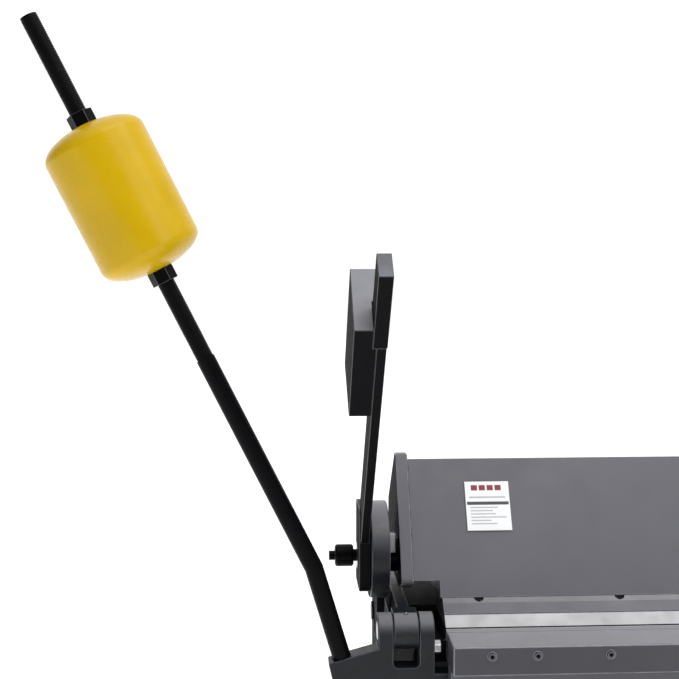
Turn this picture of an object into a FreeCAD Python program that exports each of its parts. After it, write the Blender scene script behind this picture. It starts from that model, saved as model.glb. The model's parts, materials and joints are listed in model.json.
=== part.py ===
import FreeCAD, Part
import os

import Sketcher
from FreeCAD import Placement, Rotation, Vector

# Hand sheet metal brake: X runs along the bend line, Y points to the back of the machine, Z is up.
# The origin is on the floor, under the middle of the bend line.  All sizes are in millimetres.

DIMENSIONS = {
    # bend line and working width
    "bend_height": 900,
    "half_width": 675,
    "running_gap": 0.3,
    # hinge on the bend axis
    "knuckle_radius": 25.5,
    "boss_middle": 733.5,
    "boss_length": 35.2,
    "arm_length": 21.2,
    "arm_gap": 0.8,
    "pin_radius": 12,
    "pin_fit": 0.05,
    "bush_radius": 16,
    "lock_screw_across": 17,
    "lock_screw_length": 11,
    "lock_screw_drop": 23,
    # hinge fork with the ear for the counterweight rod
    "fork_thickness": 29.5,
    "fork_back": 4,
    "ear_edge": 843,
    "ear_drop": 37.5,
    "ear_root_drop": 18,
    "fork_drop": 165,
    "fork_foot_inner": 590,
    "fork_foot_top": 55,
    "window_drop": 45.5,
    # side frames and feet
    "frame_front": 75,
    "frame_back": 270,
    "arm_thickness": 18,
    "arm_depth": 48,
    "foot_reach": 300,
    "foot_width": 90,
    "foot_height": 22,
    "floor_hole_spacing": 500,
    "floor_hole_radius": 7,
    "bed_front": 110,
    "bed_back": 235,
    "bed_depth": 260,
    "blade_height": 28,
    "tie_size": 90,
    "tie_height": 150,
    "slide_slope": 50,
    "slide_travel": 30,
    "link_pin_radius": 9,
    "link_pin_back": 150,
    "link_pin_high": 880,
    "link_pin_low": 790,
    # bending apron
    "apron_depth": 73,
    "apron_bar_height": 38,
    "insert_size": 12,
    "web_front": 56,
    "web_back": 25.6,
    "apron_drop": 230,
    "set_screw_radius": 5,
    "set_screw_drop": 13.3,
    "set_screw_socket": 6,
    "handle_place": 420,
    "handle_radius": 13,
    "grip_radius": 17,
    "handle_length": 255,
    "grip_length": 130,
    "handle_slope": 20,
    # counterweight rod, its place on the ear and its two leaning runs
    "rod_radius": 13,
    "thread_radius": 11.5,
    "thread_bore_radius": 12.3,
    "rod_foot": 829,
    "rod_foot_height": 884.3,
    "rod_low_lean": 16.8,
    "rod_low_length": 116.1,
    "rod_sink_length": 46,
    "rod_high_lean": 26.6,
    "shank_length": 330,
    "thread_length": 509.4,
    # counterweight
    "weight_radius": 71.2,
    "weight_length": 213.8,
    "weight_place": 572.4,
    "weight_end": 28.1,
    "weight_dome": 29.3,
    "weight_nut_across": 32,
    "weight_nut_height": 19,
    # clamping beam: nose bevel, strip and sloping front plate
    "nose_lift": 1.5,
    "nose_tip": 2,
    "bevel_run": 16,
    "strip_run": 37.5,
    "strip_rise": 34,
    "plate_slope": 60,
    "plate_length": 213,
    "plate_thickness": 22,
    "plate_end": 715,
    "notch_height": 25,
    "nose_depth": 105,
    "base_thickness": 22,
    "base_back": 232,
    "back_thickness": 12,
    "end_plate_thickness": 18,
    "end_plate_rise": 6.5,
    "end_plate_low": 20,
    "end_plate_round": 7,
    "nose_bolt_pitch": 207.3,
    "nose_bolt_count": 7,
    "nose_bolt_radius": 3,
    "nose_bolt_shift": 3.6,
    "nose_pocket_radius": 7,
    "nose_pocket_depth": 6,
    "rating_width": 67,
    "rating_height": 76,
    "rating_offset": 98.5,
    "rating_inset": 44,
    "rating_thickness": 1.2,
    # cross shaft, clamp link and clamp lever
    "shaft_back": 124,
    "shaft_height": 975,
    "shaft_radius": 20,
    "shaft_end": 794,
    "collar_radius": 25,
    "link_head_radius": 72,
    "link_head_inner": 750,
    "link_head_thickness": 27,
    "link_head_shift": 17,
    "link_stem_front": 101,
    "link_stem_inner": 753,
    "link_stem_width": 76,
    "link_stem_thickness": 13,
    "link_stem_low": 742,
    "lever_lean": 40.8,
    "lever_inner": 780,
    "lever_thickness": 12.3,
    "lever_width": 50,
    "lever_length": 598,
    "head_start": 480,
    "head_thickness": 18,
    "head_width": 40,
    "hub_inner": 778,
    "hub_front": 60,
    "hub_rear": 138,
    "hub_low": 936,
    "hub_high": 1060,
    "hub_round": 9,
    "hub_thickness": 16,
    "weight_plate_start": 354.5,
    "weight_plate_drop": 18,
    "weight_plate_length": 156.5,
    "weight_plate_width": 108.5,
    "weight_plate_thickness": 24,
    "knob_radius": 16.5,
    "knob_neck_radius": 9,
    "knob_neck_length": 5,
    "knob_round": 4,
    "knob_body_length": 28,
    "knob_tip_radius": 7,
    "knob_tip_length": 9,
}

SIDES = {"left": -1, "right": 1}
# the fork plate, and the counterweight rod in it, lie halfway between its front and back faces
ROD_PLANE = "(fork_back - knuckle_radius) / 2"
# distances of the apron set screws from the middle of the machine
SET_SCREW_PLACES = (0, 150, 300, 458, 559, 622)

doc = FreeCAD.newDocument("sheet_metal_brake")
sheet = doc.addObject("Spreadsheet::Sheet", "Sizes")
for row, (alias, value) in enumerate(DIMENSIONS.items(), start=1):
    sheet.set(f"A{row}", alias)
    sheet.set(f"B{row}", str(value))
    sheet.setAlias(f"B{row}", alias)
doc.recompute()

finished = []


def bound(text):
    """Turn aliases in a formula into references to the sheet."""
    out = []
    word = ""
    for mark in text + " ":
        if mark.isalnum() or mark == "_":
            word += mark
            continue
        out.append(f"Sizes.{word}" if word in DIMENSIONS else word)
        out.append(mark)
        word = ""
    return "".join(out).strip()


def value_of(text):
    """Number that a formula of aliases gives now."""
    return float(sheet.evalExpression(bound(str(text))))


def place(item, x="0", y="0", z="0", turn=None):
    """Put an object at a bound position, turned first if asked."""
    base = Vector(value_of(x), value_of(y), value_of(z))
    item.Placement = Placement(base, turn if turn else Rotation())
    for axis, text in (("x", x), ("y", y), ("z", z)):
        item.setExpression(f".Placement.Base.{axis}", bound(str(text)))


def keep(item, label):
    """Mark an object as a finished sub-part and name it."""
    item.Label = label
    finished.append(item)
    return item


def box(name, length, width, height, x, y, z, turn=None):
    item = doc.addObject("Part::Box", name)
    for prop, text in (("Length", length), ("Width", width), ("Height", height)):
        item.setExpression(prop, bound(str(text)))
    place(item, x, y, z, turn)
    return item


ALONG_X = Rotation(Vector(0, 1, 0), 90)
TO_FRONT = Rotation(Vector(1, 0, 0), 90)


def rod(name, radius, length, x, y, z, turn=None):
    item = doc.addObject("Part::Cylinder", name)
    item.setExpression("Radius", bound(str(radius)))
    item.setExpression("Height", bound(str(length)))
    place(item, x, y, z, turn)
    return item


def taper(name, low_radius, high_radius, length, x, y, z, turn=None):
    item = doc.addObject("Part::Cone", name)
    item.setExpression("Radius1", bound(low_radius))
    item.setExpression("Radius2", bound(high_radius))
    item.setExpression("Height", bound(length))
    place(item, x, y, z, turn)
    return item


def dome(name, height, radius, first, last, x, y, z, turn=None):
    """Half of an ellipsoid, between two latitudes in degrees."""
    item = doc.addObject("Part::Ellipsoid", name)
    item.setExpression("Radius1", bound(height))
    item.setExpression("Radius2", bound(radius))
    item.setExpression("Radius3", bound(radius))
    item.Angle1 = first
    item.Angle2 = last
    place(item, x, y, z, turn)
    return item


def hexagon(name, across, height, x, y, z, turn=None):
    item = doc.addObject("Part::Prism", name)
    item.Polygon = 6
    item.setExpression("Circumradius", bound(f"({across}) / 1.7320508"))
    item.setExpression("Height", bound(str(height)))
    place(item, x, y, z, turn)
    return item


def cut(name, base, tool):
    item = doc.addObject("Part::Cut", name)
    item.Base = base
    item.Tool = tool
    return item


def fuse(name, pieces):
    item = doc.addObject("Part::MultiFuse", name)
    item.Shapes = pieces
    return item


def group(name, pieces):
    """Separate solids that share one node."""
    item = doc.addObject("Part::Compound", name)
    item.Links = pieces
    return item


def plane_of(body, role):
    return next(item for item in body.Origin.OriginFeatures if item.Role == role)


def outline_sketch(body, role, points):
    """Closed straight outline whose corners are bound to the sheet."""
    sketch = body.newObject("Sketcher::SketchObject", body.Name + "_outline")
    sketch.AttachmentSupport = [(plane_of(body, role), "")]
    sketch.MapMode = "FlatFace"
    corners = [Vector(value_of(a), value_of(b), 0) for a, b in points]
    for start, end in zip(corners, corners[1:] + corners[:1]):
        sketch.addGeometry(Part.LineSegment(start, end), False)
    count = len(corners)
    for line in range(count):
        sketch.addConstraint(Sketcher.Constraint("Coincident", line, 2, (line + 1) % count, 1))
    for line, (a, b) in enumerate(points):
        for kind, text, number in (("DistanceX", a, corners[line].x), ("DistanceY", b, corners[line].y)):
            index = sketch.addConstraint(Sketcher.Constraint(kind, -1, 1, line, 1, number))
            sketch.setExpression(f"Constraints[{index}]", bound(str(text)))
    return sketch


def slab(name, role, points, thickness, x="0", y="0", z="0", turn=None):
    """Padded outline, centred on its plane, at a bound place."""
    body = doc.addObject("PartDesign::Body", name)
    sketch = outline_sketch(body, role, points)
    pad = body.newObject("PartDesign::Pad", name + "_pad")
    pad.Profile = sketch
    pad.Midplane = True
    pad.setExpression("Length", bound(str(thickness)))
    body.Tip = pad
    place(body, x, y, z, turn)
    return body


def rounded(name, base, radius, wanted):
    """Fillet the edges that a test picks out."""
    doc.recompute()
    item = doc.addObject("Part::Fillet", name)
    item.Base = base
    size = value_of(radius)
    numbers = [i + 1 for i, edge in enumerate(base.Shape.Edges) if wanted(edge)]
    item.Edges = [(number, size, size) for number in numbers]
    return item


def is_circle(edge):
    return edge.Curve.TypeId == "Part::GeomCircle"


def runs_along_x(edge):
    ends = [vertex.Point for vertex in edge.Vertexes]
    return len(ends) == 2 and abs(ends[0].x - ends[1].x) > 1 and abs(ends[0].y - ends[1].y) < 0.01


def profile_along_x(label, points, half_length, turn=None):
    """Outline in the YZ plane carried along the whole width."""
    return slab(label, "YZ_Plane", points, f"2 * ({half_length})")


# ---------------------------------------------------------------- frame

def make_side_frame(name, side):
    """Cast upright with its foot, and the middle knuckle of the hinge at its front corner."""
    height = "bend_height"
    points = [
        ("0", f"{height} + knuckle_radius"),
        ("frame_front", f"{height} + knuckle_radius"),
        ("frame_back - 45", f"{height} + 20"),
        ("frame_back", f"{height} - 30"),
        ("frame_back", f"{height} - 420"),
        ("foot_reach - 10", "foot_height + 60"),
        ("foot_reach - 10", "foot_height"),
        ("10 - foot_reach", "foot_height"),
        ("10 - foot_reach", "foot_height + 60"),
        ("frame_front", f"{height} - 420"),
        ("frame_front", f"{height} - 110"),
        ("18", f"{height} - 20"),
        ("0", f"{height} - 12"),
    ]
    middle = f"{side} * boss_middle"
    plate = slab(f"{name}_plate", "YZ_Plane", points, "boss_length", middle)
    boss = rod(f"{name}_boss", "knuckle_radius", "boss_length",
               f"{middle} - boss_length / 2", "0", "bend_height", ALONG_X)
    hole = rod(f"{name}_hole", "bush_radius", "boss_length + 2",
               f"{middle} - boss_length / 2 - 1", "0", "bend_height", ALONG_X)
    spare = "(boss_length - arm_thickness) / 2"
    reliefs = []
    for number, low_x in enumerate((f"{middle} - boss_length / 2 - 1", f"{middle} + arm_thickness / 2")):
        reliefs.append(box(f"{name}_arm_relief_{number}", f"{spare} + 1", "frame_back", "arm_depth + 10",
                           low_x, "knuckle_radius + 1", f"{height} + knuckle_radius - arm_depth"))
    tools = fuse(f"{name}_frame_tools", [hole] + reliefs)
    solid = cut(f"{name}_bored", fuse(f"{name}_raw", [plate, boss]), tools)
    keep(solid, f"side_frame_{name}")
    bush_out = rod(f"{name}_bush_out", "bush_radius", "boss_length",
                   f"{middle} - boss_length / 2", "0", "bend_height", ALONG_X)
    bush_in = rod(f"{name}_bush_in", "pin_radius + pin_fit", "boss_length + 2",
                  f"{middle} - boss_length / 2 - 1", "0", "bend_height", ALONG_X)
    keep(cut(f"{name}_bush", bush_out, bush_in), f"hinge_bush_{name}")


def make_foot(name, side):
    """Flat floor rail with one bolt hole at each end."""
    rail = box(f"{name}_rail", "foot_width", "2 * foot_reach", "foot_height",
               f"{side} * boss_middle - foot_width / 2", "-foot_reach", "0")
    holes = []
    for end in (-1, 1):
        holes.append(rod(f"{name}_floor_hole_{end + 1}", "floor_hole_radius", "foot_height + 2",
                         f"{side} * boss_middle + {side} * 31", f"{end} * floor_hole_spacing / 2", "-1"))
    keep(cut(f"{name}_foot", rail, fuse(f"{name}_floor_holes", holes)), f"foot_{name}")


def make_link_pins(name, side):
    """Two headed pins on the side frame, on which the slanted slots of the clamp link slide."""
    inner = "boss_middle + boss_length / 2"
    long = "link_stem_inner + link_stem_thickness + 0.4 - boss_middle - boss_length / 2"
    pins = []
    for level in ("high", "low"):
        low_x = inner if side > 0 else f"-({inner}) - ({long})"
        head_x = f"{inner} + {long}" if side > 0 else f"-({inner}) - ({long}) - 3"
        pin = rod(f"{name}_link_pin_{level}", "link_pin_radius", long, low_x,
                  "link_pin_back", f"link_pin_{level}", ALONG_X)
        head = rod(f"{name}_link_pin_{level}_head", "link_pin_radius + 5", "3", head_x,
                   "link_pin_back", f"link_pin_{level}", ALONG_X)
        pins.append(fuse(f"{name}_link_pin_{level}_whole", [pin, head]))
    keep(group(f"{name}_link_pins", pins), f"link_pins_{name}")


def make_bed():
    """Bed beam between the side frames, with the lower jaw blade on its front ledge."""
    top = "bend_height"
    inner = "boss_middle - boss_length / 2"
    points = [
        ("bed_front", top),
        ("bed_back", top),
        ("bed_back", f"{top} - 30"),
        ("bed_front + 34", f"{top} - 52"),
        ("bed_front + 34", f"{top} - bed_depth"),
        ("bed_front - 8", f"{top} - bed_depth"),
        ("bed_front - 8", f"{top} - 96"),
        ("34", f"{top} - 60"),
        ("34", f"{top} - blade_height"),
        ("bed_front", f"{top} - blade_height"),
    ]
    keep(profile_along_x("bed_casting", points, inner), "bed_beam")
    blade = [
        ("running_gap * 2", top),
        ("bed_front", top),
        ("bed_front", f"{top} - blade_height"),
        ("34", f"{top} - blade_height"),
        ("running_gap * 2", f"{top} - 14"),
    ]
    keep(profile_along_x("blade_bar", blade, "half_width"), "bed_blade")


def make_ties():
    """Lower front and rear ties that hold the side frames apart."""
    inner = "boss_middle - boss_length / 2"
    for place_name, middle in (("front", -150), ("rear", 200)):
        half = "tie_size / 2"
        points = [
            (f"{middle} - {half}", "tie_height"),
            (f"{middle} + {half}", "tie_height"),
            (f"{middle} + {half}", "tie_height + 60"),
            (f"{middle} + {half} - 10", "tie_height + 60"),
            (f"{middle} + {half} - 10", "tie_height + 10"),
            (f"{middle} - {half}", "tie_height + 10"),
        ]
        keep(profile_along_x(f"tie_{place_name}_angle", points, inner), f"{place_name}_tie")


def make_frame_bolts():
    """Hexagon bolts on the outer faces of the side frames, into the bed and the ties."""
    bolts = []
    outer = "boss_middle + boss_length / 2"
    spots = [(215, 870), (225, 770), (127, 680), (-150, 156), (200, 156)]
    for name, side in SIDES.items():
        for number, (y, z) in enumerate(spots):
            low_x = outer if side > 0 else f"-({outer}) - 10"
            bolts.append(hexagon(f"{name}_frame_bolt_{number}", 24, 10, low_x, str(y), str(z), ALONG_X))
    keep(group("frame_bolt_set", bolts), "frame_bolts")


# ---------------------------------------------------------------- apron

def make_apron():
    top = "bend_height"
    bar = [
        ("-insert_size", top),
        ("-apron_depth", top),
        ("-apron_depth", f"{top} - apron_bar_height - 3"),
        ("-apron_depth + 7", f"{top} - apron_bar_height - 3"),
        ("-running_gap", f"{top} - apron_bar_height - 3"),
        ("-running_gap", f"{top} - insert_size"),
        ("-insert_size", f"{top} - insert_size"),
    ]
    keep(profile_along_x("apron_bar_casting", bar, "half_width"), "apron_bar")
    strip = [
        ("-insert_size", top),
        ("-running_gap", top),
        ("-running_gap", f"{top} - insert_size"),
        ("-insert_size", f"{top} - insert_size"),
    ]
    keep(profile_along_x("apron_insert", strip, "half_width"), "apron_edge_strip")
    web_top = f"{top} - apron_bar_height - 3"
    web = [
        ("-web_back", web_top),
        ("-web_front", web_top),
        ("-web_front", f"{top} - apron_drop + 24"),
        ("-web_front - 45", f"{top} - apron_drop + 24"),
        ("-web_front - 45", f"{top} - apron_drop"),
        ("-web_back", f"{top} - apron_drop"),
    ]
    keep(profile_along_x("apron_web_casting", web, "half_width"), "apron_web")


def make_set_screws():
    """Socket set screws along the front of the apron bar."""
    screws = []
    places = sorted({side * x for x in SET_SCREW_PLACES for side in (-1, 1)})
    for number, x in enumerate(places):
        screw = rod(f"set_screw_{number}", "set_screw_radius", "3", str(x),
                    "-apron_depth", "bend_height - set_screw_drop", TO_FRONT)
        socket = hexagon(f"set_screw_socket_{number}", "set_screw_socket", 3, str(x),
                         "-apron_depth - 0.6", "bend_height - set_screw_drop", TO_FRONT)
        screws.append(cut(f"set_screw_cut_{number}", screw, socket))
    keep(group("set_screw_row", screws), "apron_set_screws")


def make_fork(name, side):
    """Fork of two knuckles with the sloping ear for the rod and a foot behind the apron web."""
    outer = "boss_middle + boss_length / 2 + arm_gap + arm_length"
    inner = "boss_middle - boss_length / 2 - arm_gap - arm_length"
    z = "bend_height"
    points = [
        ("ear_edge", f"{z} - ear_drop"),
        (outer, f"{z} - ear_root_drop"),
        (outer, z),
        (inner, z),
        (inner, f"{z} - fork_foot_top"),
        ("fork_foot_inner", f"{z} - fork_foot_top"),
        ("fork_foot_inner", f"{z} - fork_drop"),
        (f"{outer} - 10", f"{z} - fork_drop"),
        ("ear_edge - 12", f"{z} - 90"),
    ]
    signed = [(f"{side} * ({x})", height) for x, height in points]
    plate = slab(f"{name}_fork_plate", "XZ_Plane", signed, "fork_thickness", y=ROD_PLANE)
    knuckle = rod(f"{name}_fork_knuckle", "knuckle_radius", f"({outer}) - ({inner})",
                  inner if side > 0 else f"-({outer})", "0", z, ALONG_X)
    wide = "boss_length + 2 * arm_gap"
    window = box(f"{name}_fork_window", wide, "80", "window_drop + 60",
                 f"{side} * boss_middle - ({wide}) / 2", "-40", f"{z} - window_drop")
    window_soft = rounded(f"{name}_fork_window_soft", window, "7", lambda edge: is_low_y_edge(edge, window))
    pin_hole = rod(f"{name}_fork_pin_hole", "pin_radius", f"({outer}) - ({inner}) + 2",
                   f"{inner} - 1" if side > 0 else f"-({outer}) - 1", "0", z, ALONG_X)
    lean = Rotation(Vector(0, 1, 0), side * value_of("rod_low_lean"))
    sink = rod_sink(side)
    rod_hole = rod(f"{name}_fork_rod_hole", "rod_radius", "140", *sink, lean)
    raw = fuse(f"{name}_fork_raw", [plate, knuckle])
    tools = fuse(f"{name}_fork_tools", [window_soft, pin_hole, rod_hole])
    keep(cut(f"{name}_fork", raw, tools), f"hinge_fork_{name}")
    keep(rod(f"{name}_pin", "pin_radius", f"({outer}) - ({inner})",
             inner if side > 0 else f"-({outer})", "0", z, ALONG_X), f"hinge_pin_{name}")
    screw_x = f"{inner} - lock_screw_length" if side > 0 else f"-({inner})"
    keep(hexagon(f"{name}_lock_screw", "lock_screw_across", "lock_screw_length",
                 screw_x, "-4", f"{z} - lock_screw_drop", ALONG_X), f"fork_lock_screw_{name}")


def is_low_y_edge(edge, block):
    """Edges along Y at the bottom of a block."""
    box_of = block.Shape.BoundBox
    low = all(abs(v.Point.z - box_of.ZMin) < 0.01 for v in edge.Vertexes)
    across = abs(edge.Vertexes[0].Point.y - edge.Vertexes[-1].Point.y) > 1
    return low and across


def rod_sink(side):
    """Start of the rod inside the ear, along its lower lean."""
    x = f"{side} * (rod_foot - rod_sink_length * sin(rod_low_lean * 1 deg))"
    z = "rod_foot_height - rod_sink_length * cos(rod_low_lean * 1 deg)"
    return x, ROD_PLANE, z


def rod_bend(side):
    """Point where the rod's two runs meet."""
    x = f"{side} * (rod_foot + rod_low_length * sin(rod_low_lean * 1 deg))"
    z = "rod_foot_height + rod_low_length * cos(rod_low_lean * 1 deg)"
    return x, ROD_PLANE, z


def along_rod(side, distance):
    """Point on the rod's upper run, at a distance above its bend."""
    x, y, z = rod_bend(side)
    return (f"({x}) + {side} * ({distance}) * sin(rod_high_lean * 1 deg)", y,
            f"({z}) + ({distance}) * cos(rod_high_lean * 1 deg)")


def make_rod(name, side):
    """Bent rod with a plain shank and a threaded upper end."""
    low_turn = Rotation(Vector(0, 1, 0), side * value_of("rod_low_lean"))
    high_turn = Rotation(Vector(0, 1, 0), side * value_of("rod_high_lean"))
    low = rod(f"{name}_rod_low", "rod_radius", "rod_low_length + rod_sink_length", *rod_sink(side), low_turn)
    elbow = doc.addObject("Part::Sphere", f"{name}_rod_elbow")
    elbow.setExpression("Radius", bound("rod_radius"))
    place(elbow, *rod_bend(side))
    shank = rod(f"{name}_rod_shank", "rod_radius", "shank_length", *rod_bend(side), high_turn)
    thread = rod(f"{name}_rod_thread", "thread_radius", "thread_length",
                 *along_rod(side, "shank_length"), high_turn)
    keep(fuse(f"{name}_rod", [low, elbow, shank, thread]), f"counterweight_rod_{name}")


def make_fork_bolts():
    """Bolts that hold the fork feet to the apron web."""
    bolts = []
    for name, side in SIDES.items():
        for number, (x, drop) in enumerate(((610, 75), (610, 140), (655, 75), (655, 140))):
            bolts.append(hexagon(f"{name}_fork_bolt_{number}", 19, 8, f"{side} * {x}",
                                 "-web_front", f"bend_height - {drop}", TO_FRONT))
    keep(group("fork_bolt_set", bolts), "fork_bolts")


def make_handle(name, side):
    """Steel bar below the apron with a grip on its end."""
    lean = Rotation(Vector(1, 0, 0), 90 + value_of("handle_slope"))
    slope = "handle_slope * 1 deg"
    start_z = "bend_height - 150"
    start_y = "-web_front - 6"
    x = f"{side} * handle_place"
    bar = rod(f"{name}_handle_bar", "handle_radius", "handle_length", x, start_y, start_z, lean)
    pad = box(f"{name}_handle_pad", "60", "12", "74", f"{x} - 30", "-web_front - 12", "bend_height - 187")
    joined = fuse(f"{name}_handle_joined", [bar, pad])
    keep(joined, f"handle_bar_{name}")
    reach = "handle_length - grip_length + 6"
    grip_y = f"{start_y} - ({reach}) * cos({slope})"
    grip_z = f"{start_z} - ({reach}) * sin({slope})"
    outer = rod(f"{name}_grip_outer", "grip_radius", "grip_length", x, grip_y, grip_z, lean)
    bore = rod(f"{name}_grip_bore", "handle_radius", "grip_length - 6", x, grip_y, grip_z, lean)
    keep(cut(f"{name}_grip", outer, bore), f"handle_grip_{name}")


def make_counterweight(name, side):
    """Cylindrical weight with domed ends, bored for the thread, with a nut at each end."""
    turn = Rotation(Vector(0, 1, 0), side * value_of("rod_high_lean"))
    start = "weight_place - weight_length / 2"
    middle = rod(f"{name}_weight_middle", "weight_radius", "weight_length - 2 * weight_end",
                 *along_rod(side, f"{start} + weight_end"), turn)
    ends = [
        dome(f"{name}_weight_low", "weight_dome", "weight_radius - 0.3", -90, 0,
             *along_rod(side, f"{start} + weight_end"), turn),
        dome(f"{name}_weight_high", "weight_dome", "weight_radius - 0.3", 0, 90,
             *along_rod(side, f"{start} + weight_length - weight_end"), turn),
    ]
    billet = fuse(f"{name}_weight_billet", [middle] + ends)
    faced = doc.addObject("Part::Common", f"{name}_weight_faced")
    faced.Base = billet
    faced.Tool = rod(f"{name}_weight_room", "weight_radius + 4", "weight_length", *along_rod(side, start), turn)
    bore = rod(f"{name}_weight_bore", "thread_bore_radius", "weight_length + 2",
               *along_rod(side, f"{start} - 1"), turn)
    keep(cut(f"{name}_weight", faced, bore), f"counterweight_{name}")
    nuts = []
    for end, distance in (("low", f"{start} - weight_nut_height"), ("high", "weight_place + weight_length / 2")):
        nut = hexagon(f"{name}_nut_{end}", "weight_nut_across", "weight_nut_height",
                      *along_rod(side, distance), turn)
        hole = rod(f"{name}_nut_{end}_hole", "thread_bore_radius", "weight_nut_height + 2",
                   *along_rod(side, f"({distance}) - 1"), turn)
        nuts.append(cut(f"{name}_nut_{end}_bored", nut, hole))
    keep(group(f"{name}_nuts", nuts), f"counterweight_nuts_{name}")


# ---------------------------------------------------------------- clamping beam

SLOPE = "(plate_slope * 1 deg)"
PLATE_FOOT = ("strip_run", "bend_height + strip_rise")


def on_plate(along, depth="0"):
    """Point of the beam's profile, along the front plate and behind its face."""
    y = f"{PLATE_FOOT[0]} + ({along}) * cos{SLOPE} + ({depth}) * sin{SLOPE}"
    z = f"{PLATE_FOOT[1]} + ({along}) * sin{SLOPE} - ({depth}) * cos{SLOPE}"
    return y, z


def make_beam():
    top = "bend_height"
    front = [
        on_plate("0"),
        on_plate("plate_length"),
        on_plate("plate_length", "plate_thickness"),
        on_plate("0", "plate_thickness"),
    ]
    plate = profile_along_x("plate_blank", front, "plate_end")
    notches = []
    for name, side in SIDES.items():
        low_x = "half_width + 2.5" if side > 0 else "-(plate_end + 1)"
        notches.append(box(f"plate_notch_{name}", "plate_end - half_width - 1.5", "120", "notch_height * 2",
                           low_x, "0", f"{PLATE_FOOT[1]} + notch_height * 0.866 - notch_height * 2"))
    keep(cut("plate_notched", plate, fuse("plate_tools", notches)), "clamp_front_plate")
    pockets = nose_row("nose_pocket", "nose_pocket_radius", "nose_pocket_depth", "nose_pocket_depth + 12", "0")
    foot_back = on_plate("0", "plate_thickness")
    nose = [
        ("nose_tip", f"{top} + nose_lift"),
        ("bevel_run", f"{top} + bevel_run"),
        ("bevel_run + 1.6", f"{top} + bevel_run - 0.2"),
        ("bevel_run + 1.1", f"{top} + bevel_run + 0.92"),
        on_plate("0"),
        foot_back,
        ("nose_depth", foot_back[1]),
        ("nose_depth", f"{top} + nose_lift"),
    ]
    nose_blank = profile_along_x("nose_bar_blank", nose, "half_width")
    keep(cut("nose_bar_pocketed", nose_blank, fuse("nose_pockets", pockets)), "nose_bar")
    base_low = foot_back[1]
    lean_back = f"plate_thickness / sin{SLOPE}"
    base = [
        (f"{foot_back[0]}", base_low),
        ("base_back", base_low),
        ("base_back", f"{base_low} + base_thickness"),
        (f"{foot_back[0]} + base_thickness / tan{SLOPE}", f"{base_low} + base_thickness"),
    ]
    keep(profile_along_x("base_blank", base, "half_width + 2"), "clamp_base_plate")
    crown = on_plate("plate_length", "plate_thickness")
    back = [
        ("base_back - back_thickness", f"{base_low} + base_thickness"),
        ("base_back", f"{base_low} + base_thickness"),
        (f"{crown[0]} + back_thickness + 4", crown[1]),
        (f"{crown[0]} + 4", crown[1]),
    ]
    back_plate = profile_along_x("back_blank", back, "plate_end")
    shaft_room = rod("back_shaft_room", "shaft_radius + 6", "2 * plate_end + 2", "-plate_end - 1",
                     "shaft_back", "shaft_height", ALONG_X)
    keep(cut("back_open", back_plate, shaft_room), "clamp_back_plate")
    ribs = []
    for number, x in enumerate((-480, -240, 0, 240, 480)):
        inside = [
            (f"({on_plate('62', 'plate_thickness')[0]}) + 0.2", on_plate("62", "plate_thickness")[1]),
            (f"({on_plate('175', 'plate_thickness')[0]}) + 0.2", on_plate("175", "plate_thickness")[1]),
            (f"{crown[0]} + 6", on_plate("175", "plate_thickness")[1]),
            ("base_back - 34", f"{base_low} + base_thickness + 26"),
        ]
        ribs.append(slab(f"rib_{number}", "YZ_Plane", inside, "10", str(x)))
    rib_bore = rod("rib_bore", "shaft_radius + 2", "2 * plate_end", "-plate_end",
                   "shaft_back", "shaft_height", ALONG_X)
    keep(group("rib_set", [cut(f"rib_{i}_open", rib, rib_bore) for i, rib in enumerate(ribs)]), "clamp_ribs")


def make_end_plate(name, side):
    """End plate of the beam; its bush carries the cross shaft."""
    crown_y, crown_z = on_plate("plate_length + end_plate_rise")
    points = [
        (crown_y, crown_z),
        (f"{crown_y} + 20", crown_z),
        ("262", "bend_height + 133"),
        ("262", "bend_height + 60"),
        ("215", "bend_height + 34"),
        ("90", "bend_height + 34"),
        on_plate("end_plate_low"),
    ]
    middle = f"{side} * (plate_end + end_plate_thickness / 2)"
    blank = slab(f"{name}_end_blank", "YZ_Plane", points, "end_plate_thickness", middle)
    plate = rounded(f"{name}_end_soft", blank, "end_plate_round", runs_along_x)
    hole = rod(f"{name}_end_hole", "collar_radius", "end_plate_thickness + 2",
               f"{middle} - end_plate_thickness / 2 - 1", "shaft_back", "shaft_height", ALONG_X)
    keep(cut(f"{name}_end", plate, hole), f"end_plate_{name}")
    long = "link_head_inner - plate_end"
    low_x = "plate_end" if side > 0 else "-link_head_inner"
    sleeve = rod(f"{name}_sleeve", "collar_radius", long, low_x, "shaft_back", "shaft_height", ALONG_X)
    bore = rod(f"{name}_sleeve_bore", "shaft_radius + pin_fit", f"{long} + 2", f"{low_x} - 1",
               "shaft_back", "shaft_height", ALONG_X)
    keep(cut(f"{name}_bearing", sleeve, bore), f"shaft_bearing_{name}")


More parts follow.
